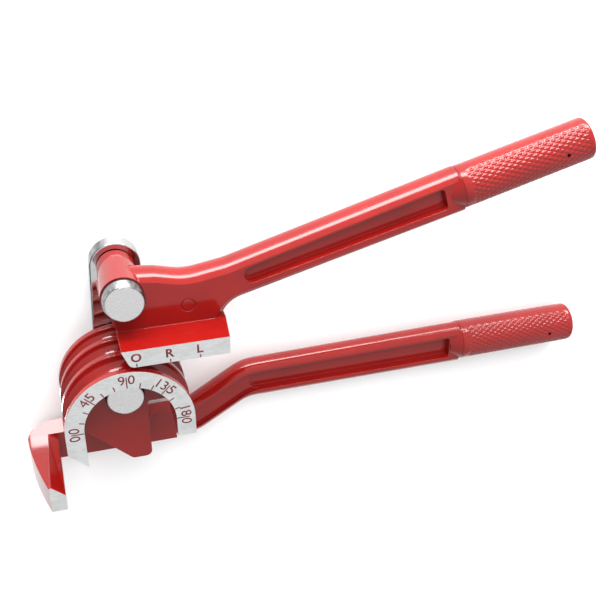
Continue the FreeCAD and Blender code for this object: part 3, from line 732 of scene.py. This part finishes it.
def add_floor():
    mesh = bpy.data.meshes.new("floor")
    half = FLOOR_HALF
    corners = [(-half, -half, 0), (half, -half, 0), (half, half, 0), (-half, half, 0)]
    mesh.from_pydata(corners, [], [(0, 1, 2, 3)])
    floor = bpy.data.objects.new("floor", mesh)
    bpy.context.scene.collection.objects.link(floor)
    floor.data.materials.append(floor_material())


def add_light(name, direction, distance, width, height, power, mirrored=True):
    data = bpy.data.lights.new(name, "AREA")
    data.shape = "RECTANGLE"
    data.size = width
    data.size_y = height
    data.energy = power
    light = bpy.data.objects.new(name, data)
    away = Vector(direction).normalized()
    light.location = CAMERA_TARGET + away * distance
    light.rotation_mode = "QUATERNION"
    light.rotation_quaternion = (-away).to_track_quat("-Z", "Y")
    light.visible_glossy = mirrored
    bpy.context.scene.collection.objects.link(light)


def add_glow_card():
    """Brightly lit patch of the table behind the hook, seen only as a reflection in the gloss."""
    low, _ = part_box("former_casting")
    data = bpy.data.lights.new("glow_card", "AREA")
    data.shape = "RECTANGLE"
    data.size = CARD_WIDTH
    data.size_y = CARD_DEPTH
    data.energy = CARD_RADIANCE * math.pi * CARD_WIDTH * CARD_DEPTH
    light = bpy.data.objects.new("glow_card", data)
    bar_top_y = FORMER_AXIS.y + BAR_TOP_MM * MM
    light.location = (low.x + CARD_WIDTH / 2, bar_top_y + CARD_DEPTH / 2 + CARD_GAP, CARD_Z)
    light.rotation_euler = (math.pi, 0, 0)
    light.visible_camera = False
    light.visible_diffuse = False
    bpy.context.scene.collection.objects.link(light)


def add_world():
    """White tent: bright near the horizon, even above, darker on the sides towards -Y and -X."""
    world = bpy.data.worlds.new("white_room")
    bpy.context.scene.world = world
    world.use_nodes = True
    tree = world.node_tree
    background = tree.nodes["Background"]
    coordinates = tree.nodes.new("ShaderNodeTexCoord")
    split = tree.nodes.new("ShaderNodeSeparateXYZ")
    tree.links.new(coordinates.outputs["Generated"], split.inputs[0])

    def graded(axis, first, last, first_value, last_value):
        node = tree.nodes.new("ShaderNodeMapRange")
        tree.links.new(split.outputs[axis], node.inputs["Value"])
        node.inputs["From Min"].default_value = first
        node.inputs["From Max"].default_value = last
        node.inputs["To Min"].default_value = first_value
        node.inputs["To Max"].default_value = last_value
        return node.outputs["Result"]

    def times(first, second):
        node = tree.nodes.new("ShaderNodeMath")
        node.operation = "MULTIPLY"
        tree.links.new(first, node.inputs[0])
        tree.links.new(second, node.inputs[1])
        return node.outputs[0]

    height = graded("Z", 0.0, CEILING_FROM, HORIZON_STRENGTH, CEILING_STRENGTH)
    depth = graded("Y", -0.7, 0.0, NEAR_SIDE_STRENGTH, 1.0)
    side = graded("X", -0.9, -0.3, LEFT_SIDE_STRENGTH, 1.0)
    tree.links.new(times(times(height, depth), side), background.inputs["Strength"])
    background.inputs["Color"].default_value = (1, 1, 1, 1)


def add_camera():
    data = bpy.data.cameras.new("camera")
    data.lens = CAMERA_LENS_MM
    data.sensor_width = CAMERA_SENSOR_MM
    azimuth = math.radians(CAMERA_AZIMUTH_DEG)
    elevation = math.radians(CAMERA_ELEVATION_DEG)
    back = Vector((math.sin(azimuth) * math.cos(elevation), -math.cos(azimuth) * math.cos(elevation),
                   math.sin(elevation)))
    camera = bpy.data.objects.new("camera", data)
    camera.location = CAMERA_TARGET + back * CAMERA_DISTANCE
    camera.rotation_mode = "QUATERNION"
    level = (-back).to_track_quat("-Z", "Y")
    camera.rotation_quaternion = level @ Quaternion((0, 0, 1), math.radians(CAMERA_ROLL_DEG))
    data.clip_start = CAMERA_NEAR
    data.clip_end = CAMERA_FAR
    bpy.context.scene.collection.objects.link(camera)
    bpy.context.scene.camera = camera


def add_stage():
    add_floor()
    add_world()
    add_light("key", KEY_DIRECTION, KEY_DISTANCE, KEY_WIDTH, KEY_HEIGHT, KEY_POWER)
    add_light("wash", WASH_DIRECTION, WASH_DISTANCE, WASH_WIDTH, WASH_HEIGHT, WASH_POWER,
              mirrored=False)
    add_glow_card()
    add_camera()
    bpy.context.scene.view_settings.view_transform = "Standard"
    bpy.context.scene.view_settings.look = "None"


dress_frame()
add_marks()
add_grips()
add_stage()
